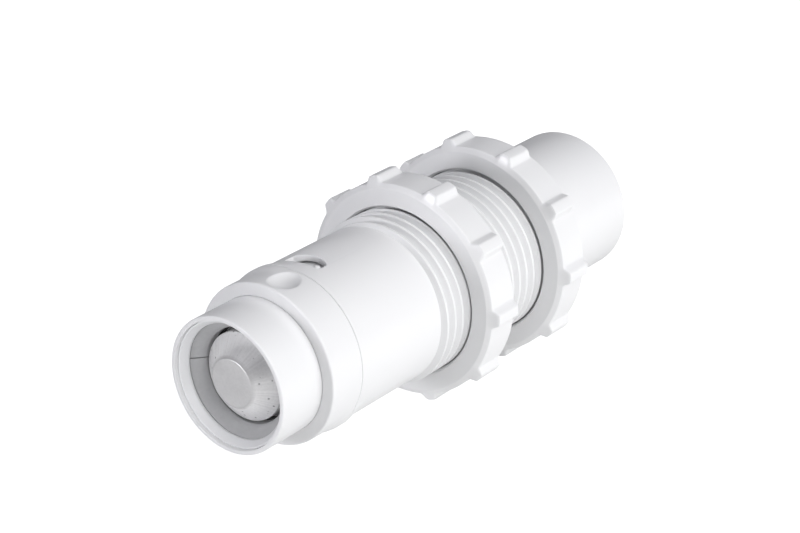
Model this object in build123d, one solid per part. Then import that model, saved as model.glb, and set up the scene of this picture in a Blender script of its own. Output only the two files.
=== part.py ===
from build123d import *
import os
from math import cos, radians, sin, sqrt, tan

# In-line check valve with a bulkhead thread.  Millimetres, +Y is the flow direction,
# +Z is up, and the origin is the centre of the open inlet rim.

# ---- driving dimensions -------------------------------------------------------
NOSE_R = 13.2            # inlet tube, outside
SLEEVE_R = 12.9          # cartridge tube behind the collar face
NOSE_BORE = 12.28        # inlet tube, front bore
TUBE_END = 46.9          # buried end of the cartridge tube
COLLAR_Y0 = 10.48        # exposed face of the twist collar
COLLAR_BORE = 13.32
SKIRT_R = 14.05          # collar skirt inside the body
SEAM_Y = 18.8            # joint line between collar and body
BODY_R = 15.7            # body and collar, outside
THREAD_CREST = 16.62     # G 1 major radius
THREAD_ROOT = 15.35
PITCH = 2.309            # G 1, eleven threads to the inch
FIRST_CREST = 42.8
CREST_COUNT = 18
THREAD_Y0 = 41.9
THREAD_Y1 = 83.2
SPIGOT_R = 14.75         # outlet spigot, outside
OUTLET_BORE = 11.5
LENGTH = 106.35
WINDOW_ANGLE = -3.7      # degrees from +Z toward +X
WINDOW_Y0 = 21.95        # straight edge, toward the inlet
WINDOW_SHOULDER = 24.5   # where the end walls meet the arched edge
WINDOW_Y1 = 25.8         # top of the arch
WINDOW_HALF = 4.0
LATCH_ANGLE = 7.0
LATCH_Y = 22.95
LATCH_R = 0.85
LOBE_ANGLE = -34.0       # grip lobes across the seam
LOBE_R = 13.1
LOBE_OFFSET = 3.1        # lobe axis off the valve axis, so the lobe stands 0.5 proud
DIMPLE_ANGLE = 4.7
DIMPLE_Y = 14.6
NUT_R = 21.5
NUT_FACE_R = 20.5
NUT_T = 7.6
LUG_R = 22.9
LUG_COUNT = 10
FRONT_NUT_Y = 49.5
REAR_NUT_Y = 73.1
POPPET_R = 8.53
POPPET_NOSE_R = 4.6
POPPET_Y0 = 1.43
POPPET_BASE_Y = 4.85
TRAVEL = 8.0             # full opening stroke of the poppet
STEM_R = 3.0
SPRING_R = 5.5
WIRE_R = 0.55
SPRING_Y0 = 10.45
SPRING_Y1 = 33.0
RING_SPLIT_ANGLE = -85.0

FLANK = tan(radians(27.5))


# ---- helpers ------------------------------------------------------------------
def turned(points):
    """Solid of revolution about Y from (radius, y) points."""
    return revolve(make_face(Polyline(*points, close=True)), Axis.Y)


def around(shape, angle):
    """Turn a shape built at the top (+Z) to an angle toward +X."""
    return Rot(0, angle, 0) * shape


def torus_ring(centre_r, section_r, y):
    """O-ring lying round the Y axis."""
    return Pos(0, y, 0) * Rot(90, 0, 0) * Torus(centre_r, section_r)


def thread_outline():
    """Outside thread, as a run of (radius, y) points."""
    half = 0.25
    base = half + (THREAD_CREST - THREAD_ROOT) * FLANK
    points = []
    for i in range(CREST_COUNT):
        y = FIRST_CREST + i * PITCH
        if i > 0:
            points.append((THREAD_ROOT, y - base))
        points.append((THREAD_CREST, y - half))
        points.append((THREAD_CREST, y + half))
        points.append((THREAD_ROOT, y + base))
    return points


# ---- fixed pieces -------------------------------------------------------------
def valve_body():
    """Main moulding: window sleeve, bulkhead thread and outlet spigot."""
    outer = [(BODY_R - 0.25, SEAM_Y), (BODY_R, SEAM_Y + 0.25), (BODY_R, THREAD_Y0)]
    outer += thread_outline()
    outer += [(THREAD_ROOT, THREAD_Y1), (SPIGOT_R, THREAD_Y1 + 0.6)]
    outer += [(SPIGOT_R, LENGTH - 0.5), (SPIGOT_R - 0.5, LENGTH)]
    inner = [(OUTLET_BORE + 0.6, LENGTH), (OUTLET_BORE, LENGTH - 0.6)]
    inner += [(OUTLET_BORE, 47.0), (13.0, 47.0)]
    for y in (39.5, 32.0):
        inner += [(13.0, y + 0.75), (13.95, y + 0.75), (13.95, y - 0.75), (13.0, y - 0.75)]
    inner += [(13.0, 29.2), (14.5, 29.2), (14.5, SEAM_Y)]
    body = turned(outer + inner)
    for turn in (0, 180):
        body -= around(window_cutter(), WINDOW_ANGLE + turn)
        body += around(grip_lobe(SEAM_Y, SEAM_Y + 0.1, 19.4, 21.7), LOBE_ANGLE + turn)
    return body


def window_cutter():
    """Arched side window: straight edge toward the inlet, arch toward the outlet."""
    sagitta = WINDOW_Y1 - WINDOW_SHOULDER
    radius = (WINDOW_HALF ** 2 + sagitta ** 2) / (2 * sagitta)
    disc = Pos(0, WINDOW_Y1 - radius, 14.6) * Cylinder(radius, 4.0)
    keep = Pos(0, WINDOW_Y0 + 5.0, 14.6) * Box(2 * WINDOW_HALF, 10.0, 5.0)
    cutter = disc & keep
    return fillet(cutter.edges().filter_by(Axis.Z), 0.4)


def grip_lobe(y0, y1, y2, y3):
    """Low cam-shaped lobe: full height from y1 to y2, run out to nothing at y0 and y3."""
    top = LOBE_R + LOBE_OFFSET
    band = turned([(14.6, y0), (BODY_R - 0.05, y0), (top, y1), (top, y2), (BODY_R - 0.05, y3), (14.6, y3)])
    axis_at = Pos(0, (y0 + y3) / 2, LOBE_OFFSET) * Rot(90, 0, 0)
    return band & (axis_at * Cylinder(LOBE_R, y3 - y0))


def nose_tube():
    """Cartridge tube: the exposed inlet spigot and the sleeve that carries the valve."""
    outer = [(NOSE_BORE + 0.2, 0), (NOSE_R - 0.45, 0), (NOSE_R - 0.12, 0.14), (NOSE_R, 0.5)]
    outer += [(NOSE_R, COLLAR_Y0 - 0.08), (SLEEVE_R, COLLAR_Y0), (SLEEVE_R, 27.0), (14.4, 27.0)]
    outer += [(14.4, 29.1), (SLEEVE_R, 29.1), (SLEEVE_R, TUBE_END)]
    inner = [(12.0, TUBE_END), (12.0, 41.25), (12.35, 41.25), (12.35, 40.05), (12.0, 40.05)]
    inner += [(12.0, 34.0), (11.8, 34.0), (11.8, 9.45), (NOSE_BORE, 9.45), (NOSE_BORE, 0.2)]
    return turned(outer + inner)


def seat_carrier():
    """Thin liner behind the inlet rim that holds the seat ring and seal."""
    outer = [(11.95, 0.8), (12.25, 0.8), (12.25, 9.4)]
    inner = [(10.3, 9.4), (10.3, 8.6), (11.1, 8.6), (11.1, 4.3), (11.6, 4.3), (11.6, 2.6)]
    inner += [(11.1, 2.6), (11.1, 2.1)]
    return turned(outer + inner)


def seat_ring():
    """Split funnel ring, sprung into the groove of the carrier."""
    ring = turned([(11.05, 2.7), (11.5, 2.7), (11.5, 4.2), (11.05, 4.2), (11.05, 6.98),
                   (9.25, 6.98), (9.25, 5.2), (9.4, 4.82), (9.75, 4.4)])
    slit = Pos(0, 5.0, 10.5) * Box(0.3, 6.0, 3.2)
    return ring - around(slit, RING_SPLIT_ANGLE)


def seat_seal():
    """Elastomer face seal clamped behind the seat ring."""
    return turned([(9.05, 7.0), (11.08, 7.0), (11.08, 8.58), (9.9, 8.58), (9.05, 8.2)])


def stem_guide():
    """Three-armed guide that centres the poppet stem."""
    rim = turned([(10.8, 34.02), (11.95, 34.02), (11.95, 40.0), (10.8, 40.0)])
    hub = turned([(4.0, 34.02), (7.2, 34.02), (7.2, 39.2), (6.6, 40.0), (4.0, 40.0)])
    guide = rim + hub
    for i in range(3):
        guide += around(Pos(0, 37.0, 9.1) * Box(2.4, 5.0, 4.4), 60 + 120 * i)
    return guide


def stem_bush():
    """Flanged bush in the guide's hub."""
    return turned([(3.08, 33.6), (3.9, 33.6), (4.0, 34.1), (4.0, 40.0), (3.08, 40.0)])


def guide_circlip():
    """Internal retaining ring behind the stem guide, with two eyed ears."""
    ring = turned([(11.1, 40.1), (12.3, 40.1), (12.3, 41.2), (11.1, 41.2)])
    ring -= Pos(0, 40.65, -12.0) * Box(6.0, 2.0, 6.0)
    for side in (-1, 1):
        ear = Pos(side * 3.8, 40.65, -9.95) * Rot(90, 0, 0) * Cylinder(1.3, 1.1)
        eye = Pos(side * 3.8, 40.65, -9.9) * Rot(90, 0, 0) * Cylinder(0.6, 2.0)
        ring += ear
        ring -= eye
    return ring


def spring_cup():
    """Dished washer between the return spring and the guide."""
    return turned([(4.1, SPRING_Y1), (6.3, SPRING_Y1), (6.3, 32.3), (6.9, 32.3),
                   (6.9, 34.0), (4.1, 34.0)])


# ---- twist collar -------------------------------------------------------------
def bayonet_collar():
    """Twist collar with its skirt inside the body, thumb dimples and grip lobes."""
    outer = [(COLLAR_BORE, COLLAR_Y0), (BODY_R - 0.5, COLLAR_Y0), (BODY_R - 0.14, COLLAR_Y0 + 0.15)]
    outer += [(BODY_R, COLLAR_Y0 + 0.5), (BODY_R, SEAM_Y - 0.35), (BODY_R - 0.25, SEAM_Y - 0.12)]
    outer += [(SKIRT_R, SEAM_Y - 0.12), (SKIRT_R, 26.5), (SKIRT_R - 0.25, 26.8), (COLLAR_BORE, 26.8)]
    groove = [(COLLAR_BORE, 12.8), (14.25, 12.8), (14.25, 11.3), (COLLAR_BORE, 11.3)]
    collar = turned(outer + groove)
    for turn in (0, 180):
        collar -= around(Pos(0, DIMPLE_Y, BODY_R + 4.035) * Sphere(5.2), DIMPLE_ANGLE + turn)
        collar -= around(Pos(0, LATCH_Y, 14.0) * Cylinder(LATCH_R, 4.0), LATCH_ANGLE + turn)
        collar += around(grip_lobe(15.2, 18.0, SEAM_Y - 0.2, SEAM_Y - 0.12), LOBE_ANGLE + turn)
    return collar


def latch_pin(turn):
    """Round-headed bayonet pin pressed through the collar's skirt."""
    shank = Pos(0, LATCH_Y, 14.1) * Cylinder(LATCH_R, 1.4)
    head = Pos(0, LATCH_Y, 14.8) * Sphere(LATCH_R)
    return around(shank + head, LATCH_ANGLE + turn)


# ---- poppet -------------------------------------------------------------------
def poppet_head():
    """Metal poppet: blunt cone, waist through the seat and sealing flange."""
    outer = [(0, POPPET_Y0), (POPPET_NOSE_R - 0.15, POPPET_Y0), (POPPET_NOSE_R, POPPET_Y0 + 0.1)]
    outer += [(POPPET_R - 0.1, POPPET_BASE_Y - 0.08), (POPPET_R, POPPET_BASE_Y + 0.1)]
    outer += [(POPPET_R, 8.0), (8.7, 8.6), (9.9, 8.6), (9.9, 9.6), (9.3, 10.4), (4.7, 10.4)]
    outer += [(4.7, 12.2), (4.4, 12.5), (STEM_R, 12.5), (STEM_R, 7.4), (0, 7.4)]
    return turned(outer)


def poppet_stem():
    """Guide stem screwed into the poppet, grooved for its clip."""
    return turned([(0, 7.4), (STEM_R, 7.4), (STEM_R, 41.0), (2.3, 41.0), (2.3, 41.8),
                   (STEM_R, 41.8), (STEM_R, 43.6), (2.5, 44.1), (0, 44.1)])


def stem_clip():
    """Snap clip that keeps the stem in the guide."""
    clip = turned([(2.3, 41.03), (5.2, 41.03), (5.2, 41.77), (2.3, 41.77)])
    return clip - Pos(0, 41.4, -4.0) * Box(3.6, 2.0, 8.0)


def return_spring():
    """Compression spring between the poppet flange and the spring cup."""
    y0 = SPRING_Y0 + WIRE_R
    height = SPRING_Y1 - SPRING_Y0 - 2 * WIRE_R
    coil = Helix(pitch=height / 6.5, height=height, radius=SPRING_R)
    start = Plane(origin=coil @ 0, z_dir=coil % 0)
    wire = sweep(start * Circle(WIRE_R), path=coil, is_frenet=True)
    return Pos(0, y0, 0) * Rot(-90, 0, 0) * wire


# ---- locknuts -----------------------------------------------------------------
def locknut(y0):
    """Round locknut with a bevelled front, ten small lugs and a loose bulkhead thread."""
    y1 = y0 + NUT_T
    outer = [(17.35, y0), (NUT_FACE_R, y0), (NUT_R - 0.15, y0 + 0.5), (NUT_R, y0 + 0.75)]
    outer += [(NUT_R, y1 - 0.3), (NUT_R - 0.3, y1), (17.35, y1), (16.75, y1 - 0.6)]
    ridges = []
    for i in range(CREST_COUNT):
        y = FIRST_CREST + (i + 0.5) * PITCH
        if y0 + 0.62 < y - 0.72 and y + 0.72 < y1 - 0.62:
            ridges.insert(0, y)
    bore = []
    for y in ridges:
        bore += [(16.75, y + 0.7), (15.65, y + 0.18), (15.65, y - 0.18), (16.75, y - 0.7)]
    nut = turned(outer + bore + [(16.75, y0 + 0.6)])
    for i in range(LUG_COUNT):
        nut += around(Pos(0, y0 + 0.55, 0) * lug(), 18 + 360 / LUG_COUNT * i)
    return nut


def lug():
    """Small trapezoid rib across the rim of a locknut."""
    length = NUT_T - 0.55
    points = [(-1.55, 21.0), (1.55, 21.0), (1.4, 21.6), (0.85, LUG_R - 0.25), (0.55, LUG_R)]
    points += [(-0.55, LUG_R), (-0.85, LUG_R - 0.25), (-1.4, 21.6)]
    face = Plane.XZ * make_face(Polyline(*points, close=True))
    return extrude(face, amount=length, dir=(0, 1, 0))


def build():
    return {
        "valve_body": valve_body(),
        "nose_tube": nose_tube(),
        "seat_carrier": seat_carrier(),
        "seat_ring": seat_ring(),
        "seat_seal": seat_seal(),
        "stem_guide": stem_guide(),
        "stem_bush": stem_bush(),
        "guide_circlip": guide_circlip(),
        "spring_cup": spring_cup(),
        "cartridge_oring_front": torus_ring(13.43, 0.5, 32.0),
        "cartridge_oring_rear": torus_ring(13.43, 0.5, 39.5),
        "bayonet_collar": bayonet_collar(),
        "collar_oring": torus_ring(13.58, 0.64, 12.05),
        "latch_pin_top": latch_pin(0),
        "latch_pin_bottom": latch_pin(180),
        "poppet_head": poppet_head(),
        "poppet_stem": poppet_stem(),
        "stem_clip": stem_clip(),
        "return_spring": return_spring(),
        "front_locknut": locknut(FRONT_NUT_Y),
        "rear_locknut": locknut(REAR_NUT_Y),
    }


os.makedirs("parts", exist_ok=True)
for name, shape in build().items():
    export_step(shape, "parts/" + name + ".step")
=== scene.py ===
# %% [markdown]
# # An in-line check valve, as a studio model
# The valve is a white plastic cartridge with a sprung metal poppet, a twist collar, a long pipe
# thread with two locknuts, and a plain spigot at each end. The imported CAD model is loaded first, as
# a fixed frame. Every piece made here sits around it in metres: +Y is the way the water flows, +Z is
# up, and the origin is the centre of the open inlet rim.

# %% Load the frame
import math
import bpy
from mathutils import Matrix, Vector


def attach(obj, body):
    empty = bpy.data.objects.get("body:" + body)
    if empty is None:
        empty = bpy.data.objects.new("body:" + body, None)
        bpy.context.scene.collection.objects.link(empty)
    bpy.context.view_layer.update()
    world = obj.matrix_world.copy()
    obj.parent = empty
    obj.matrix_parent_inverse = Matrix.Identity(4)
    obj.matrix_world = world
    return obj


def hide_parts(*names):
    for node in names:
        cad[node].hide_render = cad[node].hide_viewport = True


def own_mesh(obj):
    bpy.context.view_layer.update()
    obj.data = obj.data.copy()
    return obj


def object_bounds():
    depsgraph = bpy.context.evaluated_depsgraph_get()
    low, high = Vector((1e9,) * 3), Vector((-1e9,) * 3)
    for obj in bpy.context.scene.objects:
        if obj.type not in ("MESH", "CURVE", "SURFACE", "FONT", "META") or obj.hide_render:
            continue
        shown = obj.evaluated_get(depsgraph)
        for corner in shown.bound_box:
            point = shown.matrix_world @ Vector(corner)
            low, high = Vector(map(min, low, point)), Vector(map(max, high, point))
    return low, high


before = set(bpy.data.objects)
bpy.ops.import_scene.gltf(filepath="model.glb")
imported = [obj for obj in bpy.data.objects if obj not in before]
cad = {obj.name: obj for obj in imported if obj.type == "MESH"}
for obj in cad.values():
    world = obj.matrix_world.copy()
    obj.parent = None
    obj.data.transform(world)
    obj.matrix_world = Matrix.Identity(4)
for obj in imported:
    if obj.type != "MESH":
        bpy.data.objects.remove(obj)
cad_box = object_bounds()
MM = 0.001
print("CAD box in mm:", [[round(v / MM, 2) for v in corner] for corner in cad_box])

# %% [markdown]
# ## Camera
# The valve is looked at from in front, from the right and from above, through a long lens, so that
# its round ends stay nearly true ellipses. A camera is placed by its position and by three
# directions: what is right, what is up, and what is behind it.

# %% Camera
LENS = 101.27
VIEW_RIGHT = Vector((0.7894, 0.6139, 0.0))
VIEW_UP = Vector((-0.2579, 0.3316, 0.9075))
VIEW_BACK = Vector((0.5571, -0.7164, 0.4201))
VIEW_PLACE = Vector((238.9, -257.5, 185.2)) * MM

cam_data = bpy.data.cameras.new("camera")
cam_data.lens = LENS
cam_data.sensor_width = 36.0
cam_data.clip_start, cam_data.clip_end = 0.01, 10.0
camera = bpy.data.objects.new("camera", cam_data)
bpy.context.scene.collection.objects.link(camera)
camera.location = VIEW_PLACE
camera.rotation_mode = "QUATERNION"
camera.rotation_quaternion = Matrix((VIEW_RIGHT, VIEW_UP, VIEW_BACK)).transposed().to_quaternion()
bpy.context.scene.camera = camera
print("camera stands", round(VIEW_PLACE.length / MM), "mm from the inlet")

# %% [markdown]
# ## Turned shapes
# Nearly every piece of a valve is round about one axis, so most pieces start as an outline that is
# spun. A plane is merged to one vertex, the vertex is extruded from corner to corner, and the spin
# tool turns the closed outline about Y. Moulded corners are never sharp, so each corner carries the
# length that is cut from it, and a short curve takes the corner's place.

# %% Corner rounding
BENDS = 5                 # straight bits in one rounded corner


def rounded(corners, bends=BENDS):
    """(radius, y, cut) corners of a closed outline in mm -> (radius, y) points, corners curved."""
    points = []
    for i, (radius, y, cut) in enumerate(corners):
        corner = Vector((radius, y))
        before = Vector(corners[i - 1][:2]) - corner
        after = Vector(corners[(i + 1) % len(corners)][:2]) - corner
        if cut == 0:
            points.append(corner)
            continue
        start = corner + before.normalized() * cut
        end = corner + after.normalized() * cut
        for k in range(bends + 1):
            t = k / bends
            points.append(start * (1 - t) ** 2 + corner * 2 * t * (1 - t) + end * t ** 2)
    return points


def spot(radius, y, angle=0.0):
    """A point in metres. The angle is in degrees from +Z towards +X."""
    turn = math.radians(angle)
    return Vector((radius * math.sin(turn), y, radius * math.cos(turn))) * MM


print("a square corner cut by 1 mm becomes", len(rounded([(0, 0, 1), (9, 0, 0), (9, 9, 0)])) - 2, "points")

# %% [markdown]
# The outline is drawn at the top of the circle. After the spin, the first and last outlines lie on
# each other, so doubles are merged, and only then are the normals made to point outwards.

# %% Lathe
RING_STEPS = 240


def draw_outline(name, points, angle=0.0):
    """One new object whose mesh is the closed outline, left open in edit mode."""
    bpy.ops.object.select_all(action="DESELECT")
    bpy.ops.mesh.primitive_plane_add(size=MM, location=(0, 0, 0))
    piece = bpy.context.object
    piece.name = name
    piece.data.name = name
    bpy.ops.object.mode_set(mode="EDIT")
    bpy.ops.mesh.select_mode(type="VERT")
    bpy.ops.mesh.select_all(action="SELECT")
    bpy.ops.mesh.merge(type="CENTER")
    places = [spot(radius, y, angle) for radius, y in points]
    bpy.ops.transform.translate(value=places[0])
    for here, there in zip(places, places[1:] + places[:1]):
        bpy.ops.mesh.extrude_region_move(TRANSFORM_OT_translate={"value": there - here})
    bpy.ops.mesh.select_all(action="SELECT")
    bpy.ops.mesh.remove_doubles(threshold=0.0005 * MM)
    return piece


def lathe(name, corners, steps=RING_STEPS, sweep=360.0, start=0.0):
    """A turned piece about Y. With a sweep under 360 degrees, the two ends are closed."""
    piece = draw_outline(name, rounded(corners), start)
    bpy.ops.mesh.select_all(action="SELECT")
    bpy.ops.mesh.spin(steps=steps, angle=-math.radians(sweep), center=(0, 0, 0), axis=(0, 1, 0))
    bpy.ops.mesh.select_all(action="SELECT")
    bpy.ops.mesh.remove_doubles(threshold=0.0005 * MM)
    if sweep < 360.0:
        bpy.ops.mesh.select_all(action="SELECT")
        bpy.ops.mesh.fill_holes(sides=0)
        bpy.ops.mesh.select_all(action="SELECT")
    bpy.ops.mesh.normals_make_consistent(inside=False)
    bpy.ops.object.mode_set(mode="OBJECT")
    bpy.ops.object.shade_smooth_by_angle(angle=math.radians(30))
    return piece


def say(piece):
    """Prints what a piece measures."""
    size = [round(d / MM, 2) for d in piece.dimensions]
    print(piece.name, "is", size, "mm with", len(piece.data.polygons), "faces")


# %% [markdown]
# Modifiers are added, set and applied by one helper, because an operator acts on the active object.

# %% Modifiers
def select_only(piece):
    """Selects one piece and makes it the active object."""
    bpy.ops.object.select_all(action="DESELECT")
    piece.select_set(True)
    bpy.context.view_layer.objects.active = piece


def modify(piece, kind, **settings):
    """Adds one modifier, sets its values and applies it."""
    select_only(piece)
    bpy.ops.object.modifier_add(type=kind)
    added = piece.modifiers[-1]
    for key, value in settings.items():
        setattr(added, key, value)
    bpy.ops.object.modifier_apply(modifier=added.name)


def smooth(piece, angle):
    """Shades smooth over every edge that bends less than the angle, in degrees."""
    select_only(piece)
    bpy.ops.object.shade_smooth_by_angle(angle=math.radians(angle))


def set_in_place(piece, body, node):
    """The finished piece rides on its body and stands for its CAD node."""
    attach(piece, body)
    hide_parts(node)
    say(piece)


# %% [markdown]
# ## Inlet tube
# The open inlet is a plain tube that a hose or a socket goes over. Its rim is slightly rounded and
# its bore holds the seat. The tube runs on inside the collar and the body as the cartridge that
# carries the seat, the spring and the stem guide, so it is one long turned piece with grooves.

# %% Inlet tube
NOSE_R = 13.2
NOSE_BORE = 12.28
SLEEVE_R = 12.9
COLLAR_FACE = 10.48
TUBE_END = 46.9

nose = lathe("inlet_tube", [
    (NOSE_BORE + 0.05, 0, 0.12), (NOSE_R, 0, 0.32), (NOSE_R, COLLAR_FACE - 0.05, 0),
    (SLEEVE_R, COLLAR_FACE + 0.1, 0), (SLEEVE_R, 27.0, 0), (14.4, 27.0, 0.2), (14.4, 29.1, 0.2),
    (SLEEVE_R, 29.1, 0), (SLEEVE_R, TUBE_END, 0.2), (12.0, TUBE_END, 0.2), (12.0, 41.25, 0),
    (12.35, 41.25, 0), (12.35, 40.05, 0), (12.0, 40.05, 0), (12.0, 34.0, 0), (11.8, 34.0, 0),
    (11.8, 9.45, 0), (NOSE_BORE, 9.45, 0), (NOSE_BORE, 0.4, 0)], steps=300)
set_in_place(nose, "body", "nose_tube")

# %% [markdown]
# ## Seat: liner and funnel ring
# Just inside the rim sits a thin liner with a sloped lip, and behind it a grey funnel ring. The ring
# is split so that it can be sprung into its groove, and the slit shows as a fine dark line. The spin
# simply stops short of a full turn, and both ends are closed.

# %% Seat liner and funnel ring
LINER_LIP = 0.72
SLIT_ANGLE = -85.0
SLIT = 1.3                # degrees left open

liner = lathe("seat_liner", [
    (11.92, LINER_LIP, 0.1), (12.25, LINER_LIP, 0.08), (12.25, 9.4, 0), (10.3, 9.4, 0),
    (10.3, 8.6, 0), (11.1, 8.6, 0), (11.1, 4.3, 0), (11.6, 4.3, 0), (11.6, 2.6, 0),
    (11.1, 2.6, 0.08), (11.1, 2.1, 0.15)], steps=300)
set_in_place(liner, "body", "seat_carrier")

funnel = lathe("seat_funnel", [
    (11.05, 2.7, 0.06), (11.5, 2.7, 0), (11.5, 4.2, 0), (11.05, 4.2, 0), (11.05, 6.98, 0),
    (9.25, 6.98, 0.1), (9.25, 5.2, 0.15), (9.75, 4.4, 0.2)],
    steps=300, sweep=360.0 - SLIT, start=SLIT_ANGLE + SLIT / 2)
set_in_place(funnel, "body", "seat_ring")

# %% [markdown]
# ## Poppet
# The poppet is a turned light-alloy plug: a flat nose, a cone, a straight waist through the seat and
# a flange that presses on the seal. Its front edge is only lightly broken, so the flat nose and the
# cone meet in a crisp line.

# %% Poppet
poppet = lathe("poppet_plug", [
    (0, 1.43, 0), (4.6, 1.43, 0.12), (8.53, 4.85, 0.16), (8.53, 8.0, 0.2), (8.7, 8.6, 0.05),
    (9.9, 8.6, 0.15), (9.9, 9.6, 0.15), (9.3, 10.4, 0.2), (4.7, 10.4, 0.2), (4.7, 12.5, 0.3),
    (3.0, 12.5, 0), (3.0, 7.4, 0), (0, 7.4, 0)], steps=300)
set_in_place(poppet, "poppet", "poppet_head")

# %% [markdown]
# ## Main body
# The body is one moulding: a smooth sleeve over the cartridge, the threaded run and the outlet
# spigot. The outline gets extra rows of points just behind the seam, because a low grip lobe rises
# there and has to be shaped by moving vertices outwards. Each lobe is part of a smaller circle whose
# centre is off the valve's axis, so it fades into the body at both sides.

# %% Main body
BODY_R = 15.7
SEAM = 18.8
THREAD_ROOT = 15.35
THREAD_START, THREAD_END = 41.9, 83.2
SPIGOT_R = 14.75
OUTLET_BORE = 11.5
LENGTH = 106.35
LOBE_ANGLE = -34.0
LOBE_R = 13.1
LOBE_OFFSET = 3.1


def lobe_radius(angle):
    """Radius of the lobe's circle in that direction, in mm."""
    off = math.radians(angle)
    return LOBE_OFFSET * math.cos(off) + math.sqrt(LOBE_R ** 2 - (LOBE_OFFSET * math.sin(off)) ** 2)


def raise_lobes(piece, rise):
    """Lifts the outside of a piece onto its two lobes. rise(y) is 0 to 1 along the axis, y in mm."""
    for vertex in piece.data.vertices:
        x, y, z = vertex.co / MM
        radius = math.hypot(x, z)
        share = rise(y)
        if share <= 0 or radius < BODY_R - 0.6:
            continue
        for middle in (LOBE_ANGLE, LOBE_ANGLE + 180):
            off = (math.degrees(math.atan2(x, z)) - middle + 180) % 360 - 180
            if abs(off) < 90:
                lift = max(0.0, lobe_radius(off) - BODY_R) * share
                vertex.co.x *= 1 + lift / radius
                vertex.co.z *= 1 + lift / radius


def ramp(y, low, high):
    """0 below low, 1 above high, and a smooth rise between them."""
    t = min(1.0, max(0.0, (y - low) / (high - low)))
    return t * t * (3 - 2 * t)


behind_seam = [(BODY_R, SEAM + 0.4 + 0.25 * i, 0) for i in range(13)]
body = lathe("valve_housing", [
    (14.5, SEAM, 0.1), (BODY_R, SEAM, 0.18), *behind_seam, (BODY_R, THREAD_START, 0.25),
    (THREAD_ROOT, THREAD_START + 0.4, 0), (THREAD_ROOT, THREAD_END, 0.1),
    (SPIGOT_R, THREAD_END + 0.6, 0), (SPIGOT_R, LENGTH, 0.6), (OUTLET_BORE, LENGTH, 0.5),
    (OUTLET_BORE, 47.0, 0.2), (13.0, 47.0, 0), (13.0, 40.25, 0), (13.95, 40.25, 0), (13.95, 38.75, 0),
    (13.0, 38.75, 0), (13.0, 32.75, 0), (13.95, 32.75, 0), (13.95, 31.25, 0), (13.0, 31.25, 0),
    (13.0, 29.2, 0), (14.5, 29.2, 0)], steps=300)
raise_lobes(body, lambda y: 1 - ramp(y, 19.3, 21.8))
say(body)

# %% [markdown]
# ## Side windows
# Two arched windows let the bayonet pin be seen and reached. The cutter is a flat arched plate: a
# plane is extruded along its outline, filled, extruded through the wall and taken away with a
# Boolean. The new edges are the only sharp ones left, so a Bevel by angle softens just those.

# %% Side windows
WINDOW_ANGLE = -3.7
WINDOW_HALF = 4.0
WINDOW_FRONT, WINDOW_SHOULDER, WINDOW_TOP = 21.95, 24.5, 25.8


def window_outline():
    """(x, y) points in mm: a straight front edge, two end walls and an arch."""
    sagitta = WINDOW_TOP - WINDOW_SHOULDER
    radius = (WINDOW_HALF ** 2 + sagitta ** 2) / (2 * sagitta)
    half_turn = math.asin(WINDOW_HALF / radius)
    arch = []
    for k in range(13):
        turn = half_turn * (k / 6 - 1)
        arch.append((radius * math.sin(turn), WINDOW_TOP - radius * (1 - math.cos(turn)), 0))
    first, last = (*arch[0][:2], 0.3), (*arch[-1][:2], 0.3)
    corners = [(-WINDOW_HALF, WINDOW_FRONT, 0.35), first, *arch[1:-1], last,
               (WINDOW_HALF, WINDOW_FRONT, 0.35)]
    return rounded(corners)


def window_cutter():
    """The arched plate, standing through the wall at the top of the circle."""
    piece = draw_outline("window_cutter", window_outline(), 90)
    bpy.ops.mesh.edge_face_add()
    bpy.ops.transform.translate(value=(0, 0, 12 * MM))
    bpy.ops.mesh.extrude_region_move(TRANSFORM_OT_translate={"value": (0, 0, 6 * MM)})
    bpy.ops.mesh.select_all(action="SELECT")
    bpy.ops.mesh.normals_make_consistent(inside=False)
    bpy.ops.object.mode_set(mode="OBJECT")
    return piece


for half in (0, 180):
    cutter = window_cutter()
    cutter.data.transform(Matrix.Rotation(math.radians(WINDOW_ANGLE + half), 4, "Y"))
    modify(body, "BOOLEAN", object=cutter, operation="DIFFERENCE", solver="EXACT")
    bpy.data.objects.remove(cutter)
modify(body, "BEVEL", width=0.22 * MM, segments=3, limit_method="ANGLE", angle_limit=math.radians(38))
say(body)

# %% [markdown]
# ## Pipe thread
# A pipe thread is a ridge that climbs one pitch in each turn. The ridge's section is drawn once and
# the Screw modifier winds it round the body, right-handed. At both ends the ridge sinks into the
# root over part of a turn, as a cut thread does, and then it is joined to the body.

# %% Pipe thread
PITCH = 2.309             # eleven threads to the inch
THREAD_CREST = 16.62
CREST_FLAT = 0.25
RIDGE_START_ANGLE = -60.0
RIDGE_START_Y = 42.05
RIDGE_TURNS = 17.5
STEPS_PER_TURN = 96
RUN_IN = 0.22             # share of a turn over which the ridge rises

foot = CREST_FLAT + (THREAD_CREST - THREAD_ROOT) * math.tan(math.radians(27.5))
ridge_section = rounded([
    (THREAD_ROOT - 0.3, RIDGE_START_Y - foot - 0.02, 0), (THREAD_ROOT, RIDGE_START_Y - foot, 0.08),
    (THREAD_CREST, RIDGE_START_Y - CREST_FLAT, 0.1), (THREAD_CREST, RIDGE_START_Y + CREST_FLAT, 0.1),
    (THREAD_ROOT, RIDGE_START_Y + foot, 0.08), (THREAD_ROOT - 0.3, RIDGE_START_Y + foot + 0.02, 0)], 3)
ridge = draw_outline("thread_ridge", ridge_section, RIDGE_START_ANGLE)
bpy.ops.object.mode_set(mode="OBJECT")
section_size = len(ridge.data.vertices)
ridge_steps = round(RIDGE_TURNS * STEPS_PER_TURN)
modify(ridge, "SCREW", axis="Y", angle=RIDGE_TURNS * 2 * math.pi, iterations=1,
       screw_offset=RIDGE_TURNS * PITCH * MM, steps=ridge_steps, render_steps=ridge_steps)
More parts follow.
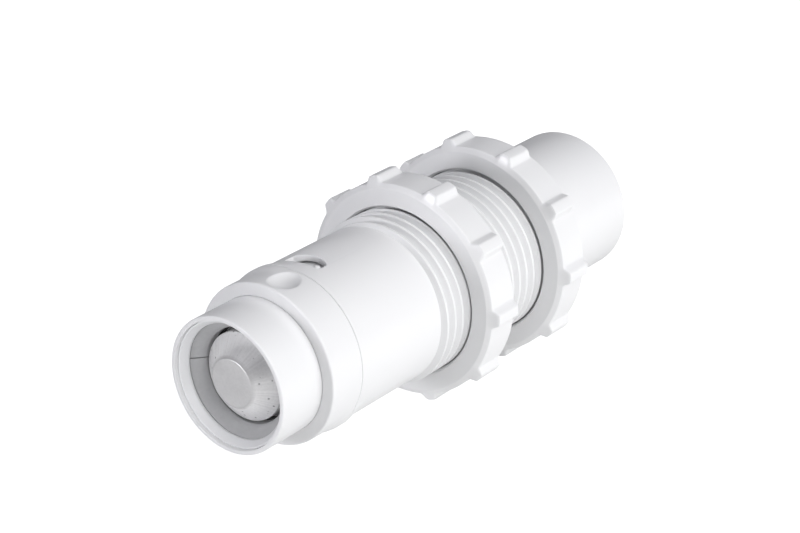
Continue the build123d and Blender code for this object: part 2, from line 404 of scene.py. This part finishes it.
for vertex in ridge.data.vertices:
    turns = (vertex.index // section_size) / STEPS_PER_TURN
    sink = 1 - min(1.0, turns / RUN_IN, (RIDGE_TURNS - turns) / RUN_IN)
    radius = math.hypot(vertex.co.x, vertex.co.z)
    drop = max(0.0, radius - (THREAD_ROOT - 0.25) * MM) * sink ** 1.5
    vertex.co.x *= 1 - drop / radius
    vertex.co.z *= 1 - drop / radius
select_only(ridge)
bpy.ops.object.mode_set(mode="EDIT")
bpy.ops.mesh.select_all(action="SELECT")
bpy.ops.mesh.fill_holes(sides=0)
bpy.ops.mesh.select_all(action="SELECT")
bpy.ops.mesh.normals_make_consistent(inside=False)
bpy.ops.object.mode_set(mode="OBJECT")
say(ridge)
modify(body, "BOOLEAN", object=ridge, operation="UNION", solver="EXACT")
bpy.data.objects.remove(ridge)
smooth(body, 35)
set_in_place(body, "body", "valve_body")

# %% [markdown]
# ## Twist collar
# The collar turns a little on the body to free the cartridge. It has a thumb dimple on each side,
# which is a shallow piece of a sphere, and the front half of each grip lobe. Dimples are shaped by
# pushing the vertices of a finely divided band down onto the sphere, so the band has many rows.

# %% Twist collar
COLLAR_END = SEAM - 0.1
COLLAR_BORE = 13.21
SKIRT_R = 14.05
DIMPLE_ANGLE = 4.7
DIMPLE_Y = 14.6
DIMPLE_BALL = 5.2         # radius of the sphere that shapes the dimple
DIMPLE_LIFT = 4.035       # how far the sphere's centre stands off the collar
DIMPLE_SOFT = 0.04        # softness of the dimple's rim


def press_dimples(piece):
    """Pushes the outside of the collar onto two spheres."""
    for half in (0, 180):
        centre = spot(BODY_R + DIMPLE_LIFT, DIMPLE_Y, DIMPLE_ANGLE + half) / MM
        out = centre.copy()
        out.y = 0
        out.normalize()
        for vertex in piece.data.vertices:
            point = vertex.co / MM
            across = point - centre
            depth = across.dot(out)
            aside = (across - out * depth).length
            if math.hypot(point.x, point.z) < BODY_R - 0.3 or aside > DIMPLE_BALL or depth > 0:
                continue
            ball = -math.sqrt(DIMPLE_BALL ** 2 - aside ** 2)
            push = ball - depth
            soft = 0.5 * (math.hypot(push, DIMPLE_SOFT) - DIMPLE_SOFT - push)
            vertex.co = (point - out * soft) * MM


rows = [(BODY_R, 11.2 + 0.2 * i, 0) for i in range(36)]
collar = lathe("twist_collar", [
    (COLLAR_BORE, COLLAR_FACE, 0.04), (BODY_R, COLLAR_FACE, 0.42), *rows, (BODY_R, COLLAR_END, 0.14),
    (SKIRT_R, COLLAR_END, 0), (SKIRT_R, 26.8, 0.25), (13.32, 26.8, 0), (13.32, 12.8, 0),
    (14.25, 12.8, 0), (14.25, 11.3, 0), (13.32, 11.3, 0), (COLLAR_BORE, 11.0, 0)], steps=480)
press_dimples(collar)
raise_lobes(collar, lambda y: ramp(y, 15.0, 18.0) if y < SEAM else 0.0)
smooth(collar, 35)
set_in_place(collar, "collar", "bayonet_collar")

# %% [markdown]
# ## Locknuts
# A locknut is ten equal sectors, so one sector is spun through 36 degrees, gets its lug, and is then
# copied round the axis with the same tool, which can copy instead of joining. The sector's steps
# are crowded together at its middle, and the rim's vertices there are lifted into a lug with a round
# crown and hollow feet. The bore has shallow grooves like the ends of a thread and clears the
# body's thread all the way round, so the nut can be turned.

# %% One locknut sector
NUT_R = 21.5
NUT_FACE_R = 20.5
NUT_THICK = 7.6
LUG_R = 22.9
LUG_COUNT = 10
LUG_FOOT, LUG_CROWN = 2.15, 0.85     # half widths of a lug, at the rim and at its crown
LUG_ROUND = 0.25          # how far the crown falls off towards the feet
SECTOR = 360 / LUG_COUNT
SECTOR_STEPS = 48
CROWDED = 12              # degrees each side of the middle whose steps are crowded
SQUEEZE = 0.55
CUT_SIDE = math.cos(math.radians(SECTOR / 2))     # sideways part of a cut end's normal


def nut_corners(front):
    """Outline of a locknut whose front face stands at y = front."""
    back = front + NUT_THICK
    bore = []
    for k in range(3):
        y = back - 1.3 - PITCH * k
        bore += [(16.8, y, 0.05), (17.15, y - 0.45, 0.08), (16.8, y - 0.9, 0.05)]
    front_rows = [(NUT_R, front + 0.85 + 0.15 * i, 0) for i in range(5)]
    back_rows = [(NUT_R, back - 1.0 + 0.15 * i, 0) for i in range(5)]
    return [(17.2, front, 0.1), (NUT_FACE_R, front, 0.15), (NUT_R, front + 0.62, 0.2), *front_rows,
            *back_rows, (NUT_R, back, 0.25), (17.45, back, 0.12), (16.8, back - 0.55, 0.05), *bore,
            (16.8, front + 0.6, 0.05)]


def crowd(piece):
    """Moves the steps of a sector together at its middle, where the lug needs them."""
    half = SECTOR / 2
    stretch = (half - CROWDED * SQUEEZE) / (half - CROWDED)
    for vertex in piece.data.vertices:
        radius = math.hypot(vertex.co.x, vertex.co.z)
        angle = math.degrees(math.atan2(vertex.co.x, vertex.co.z))
        inside = min(abs(angle), CROWDED)
        outside = abs(angle) - inside
        new = math.copysign(inside * SQUEEZE + outside * stretch, angle)
        vertex.co.x = radius * math.sin(math.radians(new))
        vertex.co.z = radius * math.cos(math.radians(new))


def raise_lug(piece, front):
    """Lifts the rim at the top of the sector into one lug with a round crown and hollow feet."""
    for vertex in piece.data.vertices:
        x, y, z = vertex.co / MM
        radius = math.hypot(x, z)
        if radius < NUT_FACE_R + 0.1:
            continue
        across = abs(math.atan2(x, z)) * NUT_R
        side = ramp(LUG_FOOT - across, 0, LUG_FOOT - LUG_CROWN)
        ends = ramp(y, front + 0.25, front + 1.05) * ramp(front + NUT_THICK - y, 0.0, 0.7)
        round_top = LUG_ROUND * (across / LUG_FOOT) ** 2
        lift = (LUG_R - NUT_R - round_top) * side * ends
        vertex.co.x *= 1 + lift / radius
        vertex.co.z *= 1 + lift / radius


def locknut(name, front):
    """One sector without its two cut ends, copied round the axis and merged."""
    piece = lathe(name, nut_corners(front), steps=SECTOR_STEPS, sweep=SECTOR, start=-SECTOR / 2)
    select_only(piece)
    bpy.ops.object.mode_set(mode="EDIT")
    bpy.ops.mesh.select_all(action="DESELECT")
    bpy.ops.object.mode_set(mode="OBJECT")
    for face in piece.data.polygons:
        sideways = abs(face.normal.y) < 0.01 and abs(abs(face.normal.x) - CUT_SIDE) < 0.002
        face.select = sideways and len(face.vertices) > 8
    bpy.ops.object.mode_set(mode="EDIT")
    bpy.ops.mesh.delete(type="ONLY_FACE")
    bpy.ops.object.mode_set(mode="OBJECT")
    crowd(piece)
    raise_lug(piece, front)
    bpy.ops.object.mode_set(mode="EDIT")
    bpy.ops.mesh.select_all(action="SELECT")
    bpy.ops.mesh.spin(steps=LUG_COUNT - 1, dupli=True, angle=math.radians(360 - SECTOR),
                      center=(0, 0, 0), axis=(0, 1, 0))
    bpy.ops.mesh.select_all(action="SELECT")
    bpy.ops.mesh.remove_doubles(threshold=0.002 * MM)
    bpy.ops.mesh.normals_make_consistent(inside=False)
    bpy.ops.object.mode_set(mode="OBJECT")
    piece.data.transform(Matrix.Rotation(math.radians(SECTOR / 2), 4, "Y"))
    smooth(piece, 40)
    return piece


# %% [markdown]
# The two nuts are the same part in two places. Each is made where it stands, because a finished
# piece keeps its place in its own mesh.

# %% Both locknuts
FRONT_NUT, REAR_NUT = 49.5, 73.1

front_nut = locknut("locknut_front", FRONT_NUT)
set_in_place(front_nut, "front_nut", "front_locknut")
rear_nut = locknut("locknut_rear", REAR_NUT)
set_in_place(rear_nut, "rear_nut", "rear_locknut")

# %% [markdown]
# ## Return spring
# The spring pushes the poppet shut. A circle is wound by the Screw modifier, and its first and last
# turns are then laid nearly flat, as on a real compression spring with closed ends. It shortens when
# the poppet opens.

# %% Return spring
WIRE_R = 0.55
SPRING_R = 5.5
SPRING_Y0, SPRING_Y1 = 10.45, 33.0
SPRING_TURNS = 7.5
SPRING_STEPS = 48
WIRE_SIDES = 14
CLOSED_TURNS = 0.8

bpy.ops.object.select_all(action="DESELECT")
bpy.ops.mesh.primitive_circle_add(vertices=WIRE_SIDES, radius=WIRE_R * MM,
                                  location=(SPRING_R * MM, 0, 0))
spring = bpy.context.object
spring.name = "poppet_spring"
spring.data.name = "poppet_spring"
bpy.ops.object.transform_apply(location=True, rotation=True, scale=True)
coil_steps = round(SPRING_TURNS * SPRING_STEPS)
modify(spring, "SCREW", axis="Y", angle=SPRING_TURNS * 2 * math.pi, iterations=1,
       screw_offset=0, steps=coil_steps, render_steps=coil_steps)
rise = SPRING_Y1 - SPRING_Y0 - 2 * WIRE_R
closed_rise = 1.15 * WIRE_R * 2 * CLOSED_TURNS
open_pitch = (rise - 2 * closed_rise) / (SPRING_TURNS - 2 * CLOSED_TURNS)
for vertex in spring.data.vertices:
    turns = (vertex.index // WIRE_SIDES) / SPRING_STEPS
    first = min(turns, CLOSED_TURNS) * closed_rise / CLOSED_TURNS
    middle = min(max(turns - CLOSED_TURNS, 0), SPRING_TURNS - 2 * CLOSED_TURNS) * open_pitch
    last = max(turns - SPRING_TURNS + CLOSED_TURNS, 0) * closed_rise / CLOSED_TURNS
    vertex.co.y += (SPRING_Y0 + WIRE_R + first + middle + last) * MM
select_only(spring)
bpy.ops.object.mode_set(mode="EDIT")
bpy.ops.mesh.select_all(action="SELECT")
bpy.ops.mesh.fill_holes(sides=0)
bpy.ops.mesh.select_all(action="SELECT")
bpy.ops.mesh.normals_make_consistent(inside=False)
bpy.ops.object.mode_set(mode="OBJECT")
smooth(spring, 40)
set_in_place(spring, "body", "return_spring")
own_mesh(spring)

# %% [markdown]
# ## Shared surface effects
# Several finishes need the same two things: a soft unevenness of colour and surface, and edges that
# look a little more worn than the faces. Each effect is a node group, built once and used with its
# own numbers in each material. The pattern reads Object coordinates, so it stays on its piece.

# %% Node group helpers
def new_group(name, inputs, outputs):
    """A shader node group. inputs are (name, kind, default), outputs are (name, kind)."""
    group = bpy.data.node_groups.new(name, "ShaderNodeTree")
    for label, kind, value in inputs:
        socket = group.interface.new_socket(label, in_out="INPUT", socket_type=kind)
        socket.default_value = value
    for label, kind in outputs:
        group.interface.new_socket(label, in_out="OUTPUT", socket_type=kind)
    return group, group.nodes.new("NodeGroupInput"), group.nodes.new("NodeGroupOutput")


def node(tree, kind, label="", **settings):
    """Adds one labelled node and sets its values."""
    made = tree.nodes.new(kind)
    made.label = label
    for key, value in settings.items():
        setattr(made, key, value)
    return made


def link(tree, a, b):
    tree.links.new(a, b)


# %% Surface unevenness group
FLOAT = "NodeSocketFloat"

grain_group, g_in, g_out = new_group(
    "surface_grain",
    [("Coarse scale", FLOAT, 60.0), ("Fine scale", FLOAT, 900.0), ("Fine share", FLOAT, 0.4)],
    [("Tone", FLOAT), ("Height", FLOAT)])
place = node(grain_group, "ShaderNodeTexCoord")
coarse = node(grain_group, "ShaderNodeTexNoise", "slow drift of colour")
coarse.inputs["Detail"].default_value = 3.0
fine = node(grain_group, "ShaderNodeTexNoise", "fine moulded or cast skin")
fine.inputs["Detail"].default_value = 5.0
both = node(grain_group, "ShaderNodeMix", "coarse and fine together", data_type="FLOAT")
link(grain_group, place.outputs["Object"], coarse.inputs["Vector"])
link(grain_group, place.outputs["Object"], fine.inputs["Vector"])
link(grain_group, g_in.outputs["Coarse scale"], coarse.inputs["Scale"])
link(grain_group, g_in.outputs["Fine scale"], fine.inputs["Scale"])
link(grain_group, g_in.outputs["Fine share"], both.inputs[0])
link(grain_group, coarse.outputs["Fac"], both.inputs[2])
link(grain_group, fine.outputs["Fac"], both.inputs[3])
link(grain_group, both.outputs[0], g_out.inputs["Tone"])
link(grain_group, both.outputs[0], g_out.inputs["Height"])
print("group", grain_group.name, "has", len(grain_group.nodes), "nodes")

# %% [markdown]
# The Bevel node gives the normal that a rounded edge would have. Where it differs from the true
# normal there is an edge nearby, and that difference, broken up by noise, is the wear mask.

# %% Edge wear group
edge_group, e_in, e_out = new_group(
    "edge_wear", [("Patch scale", FLOAT, 400.0), ("Strength", FLOAT, 1.0)], [("Mask", FLOAT)])
bent = node(edge_group, "ShaderNodeBevel", "rounded normal", samples=4)
bent.inputs["Radius"].default_value = 0.25 * MM
true_shape = node(edge_group, "ShaderNodeNewGeometry")
alike = node(edge_group, "ShaderNodeVectorMath", "how alike the normals are", operation="DOT_PRODUCT")
unlike = node(edge_group, "ShaderNodeMapRange", "edge where they differ")
unlike.inputs["From Min"].default_value = 0.975
unlike.inputs["From Max"].default_value = 0.80
e_place = node(edge_group, "ShaderNodeTexCoord")
patches = node(edge_group, "ShaderNodeTexNoise", "worn in patches")
patched = node(edge_group, "ShaderNodeMath", operation="MULTIPLY")
strength = node(edge_group, "ShaderNodeMath", operation="MULTIPLY", use_clamp=True)
link(edge_group, bent.outputs["Normal"], alike.inputs[0])
link(edge_group, true_shape.outputs["Normal"], alike.inputs[1])
link(edge_group, alike.outputs["Value"], unlike.inputs["Value"])
link(edge_group, e_place.outputs["Object"], patches.inputs["Vector"])
link(edge_group, e_in.outputs["Patch scale"], patches.inputs["Scale"])
link(edge_group, unlike.outputs["Result"], patched.inputs[0])
link(edge_group, patches.outputs["Fac"], patched.inputs[1])
link(edge_group, patched.outputs["Value"], strength.inputs[0])
link(edge_group, e_in.outputs["Strength"], strength.inputs[1])
link(edge_group, strength.outputs["Value"], e_out.inputs["Mask"])
print("group", edge_group.name, "has", len(edge_group.nodes), "nodes")

# %% [markdown]
# ## Finishes
# One helper makes every plain finish: the grain group moves the colour, the roughness and a very
# fine bump, and the edge group mixes in a second colour on edges. Each finish has its own numbers:
# gloss plastic is smooth with a slow drift of tone, rubber is dull and pitted, metal is streaked.

# %% One helper for plain finishes
def grey(value, tint=0.0):
    """A neutral colour, a little cooler for a positive tint."""
    return (value - tint, value, value + tint, 1.0)


def finish_material(name, light, dark, roughness, bump, scales, edge, edge_strength, metallic=0.0):
    """roughness is (lowest, highest), bump is a depth in mm, scales is (coarse, fine, fine share)."""
    material = bpy.data.materials.new(name)
    material.use_nodes = True
    tree = material.node_tree
    shader = tree.nodes["Principled BSDF"]
    shader.inputs["Metallic"].default_value = metallic
    grain = node(tree, "ShaderNodeGroup", "grain", node_tree=grain_group)
    for socket, value in zip(("Coarse scale", "Fine scale", "Fine share"), scales):
        grain.inputs[socket].default_value = value
    spread = node(tree, "ShaderNodeMapRange", "spread the noise out")
    spread.inputs["From Min"].default_value = 0.34
    spread.inputs["From Max"].default_value = 0.66
    tone = node(tree, "ShaderNodeMix", "colour drift", data_type="RGBA")
    tone.inputs[6].default_value, tone.inputs[7].default_value = dark, light
    rough = node(tree, "ShaderNodeMapRange", "roughness drift")
    rough.inputs["To Min"].default_value, rough.inputs["To Max"].default_value = roughness
    edges = node(tree, "ShaderNodeGroup", "edges", node_tree=edge_group)
    edges.inputs["Strength"].default_value = edge_strength
    worn = node(tree, "ShaderNodeMix", "edge colour", data_type="RGBA")
    worn.inputs[7].default_value = edge
    relief = node(tree, "ShaderNodeBump", "fine skin")
    relief.inputs["Strength"].default_value = 1.0
    relief.inputs["Distance"].default_value = bump * MM
    link(tree, grain.outputs["Tone"], spread.inputs["Value"])
    link(tree, spread.outputs["Result"], tone.inputs[0])
    link(tree, tone.outputs[2], worn.inputs[6])
    link(tree, edges.outputs["Mask"], worn.inputs[0])
    link(tree, worn.outputs[2], shader.inputs["Base Color"])
    link(tree, spread.outputs["Result"], rough.inputs["Value"])
    link(tree, rough.outputs["Result"], shader.inputs["Roughness"])
    link(tree, grain.outputs["Height"], relief.inputs["Height"])
    link(tree, relief.outputs["Normal"], shader.inputs["Normal"])
    return material


def coat(pieces, material):
    """Puts the material in every slot of every piece."""
    for piece in pieces:
        if not piece.data.materials:
            piece.data.materials.append(material)
        for material_slot in piece.material_slots:
            material_slot.material = material
    print(material.name, "is on", [piece.name for piece in pieces])


# %% [markdown]
# The white plastic is glossy and nearly neutral. Its colour hardly drifts, but without that drift and
# without its slightly uneven gloss it would look like an empty computer model.

gloss_white = finish_material("gloss_white", grey(0.868, 0.001), grey(0.86, 0.003), (0.28, 0.3), 0.0008,
                              (40, 320, 0.12), grey(0.885), 0.4)
coat([nose, body, collar, front_nut, rear_nut, cad["latch_pin_top"], cad["latch_pin_bottom"]],
     gloss_white)

pale_liner = finish_material("pale_liner", grey(0.87, 0.004), grey(0.86, 0.005), (0.3, 0.33), 0.001,
                             (70, 400, 0.15), grey(0.82), 0.5)
coat([liner], pale_liner)

mid_grey = finish_material("mid_grey", grey(0.52, 0.003), grey(0.47, 0.004), (0.38, 0.5), 0.01,
                           (90, 1400, 0.55), grey(0.62), 0.5)
coat([funnel, cad["stem_guide"]], mid_grey)

waxy_bush = finish_material("waxy_bush", (0.84, 0.82, 0.75, 1), (0.78, 0.76, 0.68, 1), (0.35, 0.45), 0.008,
                            (120, 1500, 0.4), (0.9, 0.88, 0.82, 1), 0.4)
coat([cad["stem_bush"]], waxy_bush)

black_rubber = finish_material("seal_rubber", grey(0.035), grey(0.018), (0.5, 0.72), 0.015,
                               (200, 2600, 0.6), grey(0.07), 0.7)
coat([cad[name] for name in ("seat_seal", "cartridge_oring_front", "cartridge_oring_rear",
                             "collar_oring")], black_rubber)

bright_steel = finish_material("bright_steel", grey(0.66), grey(0.52), (0.2, 0.36), 0.006,
                               (160, 3000, 0.6), grey(0.8), 0.6, metallic=1.0)
coat([spring] + [cad[name] for name in ("guide_circlip", "spring_cup", "stem_clip")], bright_steel)

# %% [markdown]
# The poppet's light alloy is turned and then tumbled. Streaks run down the cone from the nose to the
# base, so their noise is stretched: it reads the angle round the axis finely and the distance along
# it coarsely. Two opposite sides of the cone are painted a little lighter, a painted sheen that stands
# in for the way a turned cone catches the light, which a cosine of twice the angle gives. Small dark
# pits come from the cells of a Voronoi texture whose centres are close. The flat nose has one even tone.

# %% Turned alloy
# The next two numbers set a painted sheen: two opposite sides of the cone are painted lighter, with the
# lighter side turned to the upper left.
PAINTED_SHEEN = 0.13             # how much lighter and darker the cone's sides are
SHEEN_SIDE = 0.87       # radians that bring the lighter side to the upper left
NOSE_TONE = 0.76

alloy = finish_material("turned_alloy", grey(0.93, -0.004), grey(0.84, -0.003), (0.38, 0.52), 0.008,
                        (260, 2400, 0.6), grey(0.9), 0.2, metallic=0.65)
tree = alloy.node_tree
shader = tree.nodes["Principled BSDF"]
where = node(tree, "ShaderNodeTexCoord")
parts = node(tree, "ShaderNodeSeparateXYZ")
angle = node(tree, "ShaderNodeMath", "angle round the axis", operation="ARCTAN2")
streak_place = node(tree, "ShaderNodeCombineXYZ")
streaks = node(tree, "ShaderNodeTexNoise", "streaks down the cone")
streaks.inputs["Scale"].default_value = 14.0
streaks.inputs["Detail"].default_value = 6.0
streak_tone = node(tree, "ShaderNodeMapRange", "streak tone")
streak_tone.inputs["From Min"].default_value, streak_tone.inputs["From Max"].default_value = 0.3, 0.7
streak_tone.inputs["To Min"].default_value, streak_tone.inputs["To Max"].default_value = 0.9, 1.06
# Painted sheen: a cosine of twice the angle makes the cone's colour lighter on two opposite sides.
sheen_angle = node(tree, "ShaderNodeMath", "twice round", operation="MULTIPLY_ADD")
sheen_angle.inputs[1].default_value, sheen_angle.inputs[2].default_value = 2.0, SHEEN_SIDE
painted_sheen = node(tree, "ShaderNodeMath", "two lighter sides", operation="COSINE")
painted_sheen_tone = node(tree, "ShaderNodeMath", "polish tone", operation="MULTIPLY_ADD")
painted_sheen_tone.inputs[1].default_value, painted_sheen_tone.inputs[2].default_value = PAINTED_SHEEN, 1.02
streaks_and_sheen = node(tree, "ShaderNodeMath", "cone tone", operation="MULTIPLY")
on_cone = node(tree, "ShaderNodeMapRange", "streaks only behind the flat nose")
on_cone.inputs["From Min"].default_value, on_cone.inputs["From Max"].default_value = 1.5 * MM, 2.0 * MM
cone_only = node(tree, "ShaderNodeMix", "no streaks on the flat nose", data_type="FLOAT")
cone_only.inputs[2].default_value = NOSE_TONE
pits = node(tree, "ShaderNodeTexVoronoi", "pits")
pits.inputs["Scale"].default_value = 620.0
pit_mask = node(tree, "ShaderNodeMapRange", "only the deepest pits")
pit_mask.inputs["From Min"].default_value, pit_mask.inputs["From Max"].default_value = 0.07, 0.16
pit_mask.inputs["To Min"].default_value, pit_mask.inputs["To Max"].default_value = 0.45, 1.0
# The streaks, the painted sheen and the pits are multiplied into one tone for the cone.
shade = node(tree, "ShaderNodeMath", operation="MULTIPLY")
# The worn colour is multiplied by the cone's tone, which holds the streaks, the painted sheen and the
# pits.
streaked = node(tree, "ShaderNodeMix", "streaked colour", data_type="RGBA", blend_type="MULTIPLY")
streaked.inputs[0].default_value = 1.0
worn_colour = shader.inputs["Base Color"].links[0].from_socket
link(tree, where.outputs["Object"], parts.inputs["Vector"])
link(tree, parts.outputs["X"], angle.inputs[0])
link(tree, parts.outputs["Z"], angle.inputs[1])
link(tree, angle.outputs["Value"], streak_place.inputs["X"])
link(tree, parts.outputs["Y"], streak_place.inputs["Y"])
link(tree, streak_place.outputs["Vector"], streaks.inputs["Vector"])
link(tree, streaks.outputs["Fac"], streak_tone.inputs["Value"])
link(tree, where.outputs["Object"], pits.inputs["Vector"])
link(tree, pits.outputs["Distance"], pit_mask.inputs["Value"])
link(tree, parts.outputs["Y"], on_cone.inputs["Value"])
link(tree, on_cone.outputs["Result"], cone_only.inputs[0])
link(tree, angle.outputs["Value"], sheen_angle.inputs[0])
link(tree, sheen_angle.outputs["Value"], painted_sheen.inputs[0])
link(tree, painted_sheen.outputs["Value"], painted_sheen_tone.inputs[0])
link(tree, streak_tone.outputs["Result"], streaks_and_sheen.inputs[0])
link(tree, painted_sheen_tone.outputs["Value"], streaks_and_sheen.inputs[1])
link(tree, streaks_and_sheen.outputs["Value"], shade.inputs[0])
link(tree, pit_mask.outputs["Result"], shade.inputs[1])
link(tree, shade.outputs["Value"], cone_only.inputs[3])
link(tree, worn_colour, streaked.inputs[6])
link(tree, cone_only.outputs[0], streaked.inputs[7])
link(tree, streaked.outputs[2], shader.inputs["Base Color"])
coat([poppet, cad["poppet_stem"]], alloy)

# %% [markdown]
# ## Studio
# A white part on a white ground is drawn only by how its light falls off. A wide lamp on the right
# and above lights the flanks, and a weaker one overhead carries that light over the top. A low lamp
# in front on the left lights the faces that look forward and throws the soft shadow of each tube on
# the face behind it. The rest of the room is a dim, slightly cool grey. Sun lamps with a wide angle
# act like large soft boxes far away.

# %% Room light
ROOM = 0.12               # light that the room gives
WHITE = 1.06              # how bright the room looks behind the part

world = bpy.data.worlds.new("studio")
bpy.context.scene.world = world
world.use_nodes = True
tree = world.node_tree
background = tree.nodes["Background"]
background.inputs["Color"].default_value = (0.9, 0.91, 1.0, 1)
seen = node(tree, "ShaderNodeLightPath")
backdrop = node(tree, "ShaderNodeMix", "plain white where it is seen", data_type="FLOAT")
backdrop.inputs[2].default_value, backdrop.inputs[3].default_value = ROOM, WHITE
link(tree, seen.outputs["Is Camera Ray"], backdrop.inputs[0])
link(tree, backdrop.outputs[0], background.inputs["Strength"])
bpy.context.scene.view_settings.view_transform = "Standard"


def soft_sun(name, towards, strength, width, tint=(1.0, 1.0, 1.0)):
    """A far soft box. towards is the direction from the part to the lamp, width is in degrees."""
    data = bpy.data.lights.new(name, "SUN")
    data.energy = strength
    data.angle = math.radians(width)
    data.color = tint
    lamp = bpy.data.objects.new(name, data)
    bpy.context.scene.collection.objects.link(lamp)
    lamp.rotation_mode = "QUATERNION"
    lamp.rotation_quaternion = Vector(towards).to_track_quat("Z", "Y")
    lamp.location = Vector(towards)
    print(name, "shines from", towards)


COOL = (0.965, 0.96, 1.0)

soft_sun("key_right", (0.84, 0.04, 0.545), 1.85, 60)
soft_sun("top", (0.38, 0.0, 0.925), 0.86, 70, COOL)
soft_sun("fill_front_left", (-0.34, -0.935, 0.09), 1.35, 16, COOL)

# %% [markdown]
# The ground is a light table. It glows more on the right than on the left, which keeps the underside
# of the part light, and where it is seen it is plain white.

# %% Light table
GLOW_LEFT, GLOW_RIGHT, GLOW_SEEN = 0.05, 0.65, 0.95

bpy.ops.object.select_all(action="DESELECT")
bpy.ops.mesh.primitive_plane_add(size=6.0, location=(0, 0, cad_box[0].z))
floor = bpy.context.object
floor.name = "floor"
table_top = bpy.data.materials.new("light_table")
table_top.use_nodes = True
tree = table_top.node_tree
shader = tree.nodes["Principled BSDF"]
shader.inputs["Base Color"].default_value = grey(0.5)
shader.inputs["Roughness"].default_value = 0.6
shader.inputs["Emission Color"].default_value = (1, 1, 1, 1)
place = node(tree, "ShaderNodeTexCoord")
split = node(tree, "ShaderNodeSeparateXYZ")
side = node(tree, "ShaderNodeMapRange", "brighter on the right", interpolation_type="SMOOTHSTEP")
side.inputs["From Min"].default_value, side.inputs["From Max"].default_value = -0.06, 0.09
side.inputs["To Min"].default_value, side.inputs["To Max"].default_value = GLOW_LEFT, GLOW_RIGHT
glow = node(tree, "ShaderNodeMix", "white where it is seen", data_type="FLOAT")
glow.inputs[3].default_value = GLOW_SEEN
ray = node(tree, "ShaderNodeLightPath")
link(tree, place.outputs["Object"], split.inputs["Vector"])
link(tree, split.outputs["X"], side.inputs["Value"])
link(tree, side.outputs["Result"], glow.inputs[2])
link(tree, ray.outputs["Is Camera Ray"], glow.inputs[0])
link(tree, glow.outputs[0], shader.inputs["Emission Strength"])
floor.data.materials.append(table_top)
print("floor at z =", round(cad_box[0].z / MM, 2), "mm")
